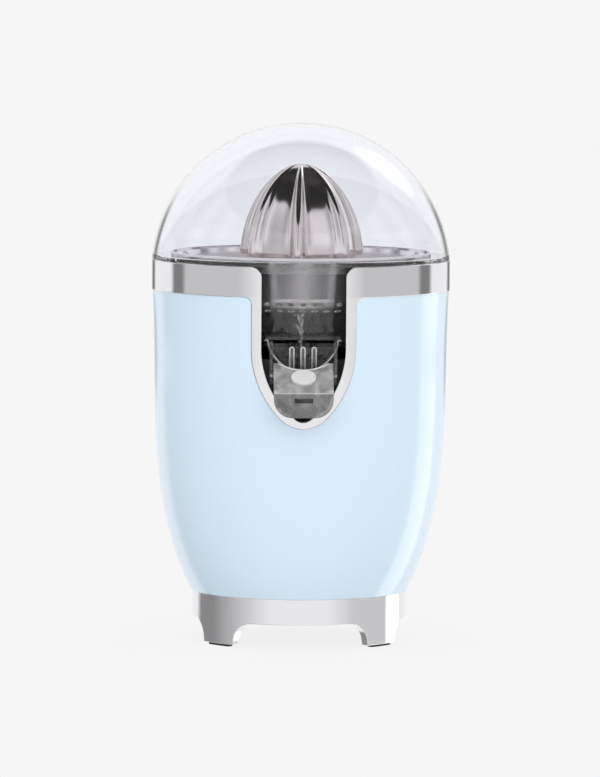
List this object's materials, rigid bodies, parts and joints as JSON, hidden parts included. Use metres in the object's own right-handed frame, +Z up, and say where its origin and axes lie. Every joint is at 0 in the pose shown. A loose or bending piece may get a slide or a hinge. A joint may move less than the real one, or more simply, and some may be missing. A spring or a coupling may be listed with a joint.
{
  "type": "citrus press juicer",
  "caption": "Electric citrus press: barrel body on a chrome ring base, clear dome lid, ribbed steel reamer, strainer, clear bowl and drip-stop spout.",
  "frame": {"origin": "on the body's vertical axis, in the plane of the table that the foot pads stand on", "axes": "+Z up along the body and reamer axis, -Y towards the front where the spout is, +X to the right of someone facing the front"},
  "size_m": [0.164, 0.1745, 0.2829],
  "materials": {
    "painted_body": "gloss enamel",
    "chrome": "polished plating",
    "clear_plastic": "clear, polished",
    "polished_steel": "polished stainless",
    "dark_plastic": "fine moulded grain",
    "black_plastic": "moulded",
    "pale_plastic": "moulded",
    "frosted_pad": "satin",
    "rubber": "matte",
    "plated_steel": "zinc plated",
    "lamination": "stacked sheet",
    "copper": "enamelled wire",
    "cast_aluminium": "as cast",
    "bronze": "sintered"
  },
  "bodies": {
    "body": {"body_shell": "painted_body", "top_collar": "chrome", "base_ring": "chrome", "foot_pads": "rubber", "bottom_cover": "dark_plastic", "bottom_screws": "plated_steel", "cord_gland": "rubber", "well_liner": "dark_plastic", "liner_screws": "plated_steel", "guide_bush": "bronze", "shaft_seal": "rubber", "motor_plate": "cast_aluminium", "mount_grommets": "rubber", "mount_screws": "plated_steel", "stator_core": "lamination", "stator_winding": "copper", "lower_bell": "cast_aluminium", "motor_bolts": "plated_steel", "lower_bearing": "plated_steel", "upper_bearing": "plated_steel", "run_capacitor": "cast_aluminium", "capacitor_nut": "plated_steel", "idler_pin": "plated_steel", "gearbox_cover": "black_plastic", "gearbox_screws": "plated_steel", "output_bush": "bronze", "micro_switch": "black_plastic", "switch_screws": "plated_steel"},
    "rotor": {"rotor_core": "lamination", "rotor_shaft": "plated_steel", "motor_pinion": "plated_steel", "cooling_fan": "pale_plastic"},
    "idler": {"idler_gear": "pale_plastic"},
    "drive_gear": {"output_gear": "pale_plastic"},
    "drive_shaft": {"drive_shaft": "plated_steel", "shaft_collar": "plated_steel", "return_spring": "plated_steel"},
    "lever": {"switch_lever": "plated_steel"},
    "plunger": {"switch_plunger": "pale_plastic"},
    "juice_bowl": {"juice_bowl": "clear_plastic", "spout_pins": "plated_steel"},
    "spout": {"pour_spout": "clear_plastic", "spout_pad": "frosted_pad"},
    "strainer": {"strainer": "polished_steel"},
    "reamer": {"reamer_cone": "polished_steel", "reamer_hub": "pale_plastic"},
    "lid": {"dome_lid": "clear_plastic"}
  },
  "joints": [
    {"name": "rotor_spin", "type": "hinge", "parent": "body", "child": "rotor", "pos_m": [0, 0, 0.06], "axis": [0, 0, 1], "continuous": true},
    {"name": "idler_spin", "type": "hinge", "parent": "body", "child": "idler", "pos_m": [0, 0.03, 0.095], "axis": [0, 0, 1], "continuous": true},
    {"name": "drive_spin", "type": "hinge", "parent": "body", "child": "drive_gear", "pos_m": [0, 0, 0.1], "axis": [0, 0, 1], "continuous": true},
    {"name": "shaft_press", "type": "slide", "parent": "drive_gear", "child": "drive_shaft", "axis": [0, 0, 1], "range_m": [-0.0025, 0], "stiffness_N_per_m": 1000, "springref_m": 0.008, "deforming": ["return_spring"]},
    {"name": "lever_tilt", "type": "hinge", "parent": "body", "child": "lever", "pos_m": [0.031, 0, 0.1244], "axis": [0, -1, 0], "range_deg": [0, 9]},
    {"name": "plunger_slide", "type": "slide", "parent": "body", "child": "plunger", "axis": [0, 0, 1], "range_m": [-0.0015, 0]},
    {"name": "bowl_lift", "type": "slide", "parent": "body", "child": "juice_bowl", "axis": [0, 0, 1], "range_m": [0, 0.09]},
    {"name": "spout_tilt", "type": "hinge", "parent": "juice_bowl", "child": "spout", "pos_m": [0, -0.072, 0.15005], "axis": [-1, 0, 0], "range_deg": [0, 45]},
    {"name": "strainer_lift", "type": "slide", "parent": "juice_bowl", "child": "strainer", "axis": [0, 0, 1], "range_m": [0, 0.0811]},
    {"name": "reamer_lift", "type": "slide", "parent": "drive_shaft", "child": "reamer", "axis": [0, 0, 1], "range_m": [0, 0.1711]},
    {"name": "lid_lift", "type": "slide", "parent": "strainer", "child": "lid", "axis": [0, 0, 1], "range_m": [0, 0.11]}
  ],
  "couplings": [
    {"joint": "idler_spin", "follows": "rotor_spin", "ratio": -0.25},
    {"joint": "drive_spin", "follows": "rotor_spin", "ratio": 0.0625},
    {"joint": "lever_tilt", "follows": "shaft_press", "rad_per_m": -60},
    {"joint": "plunger_slide", "follows": "shaft_press", "ratio": 0.58},
    {"joint": "strainer_lift", "follows": "bowl_lift", "ratio": 0.9},
    {"joint": "reamer_lift", "follows": "bowl_lift", "ratio": 1.9}
  ]
}
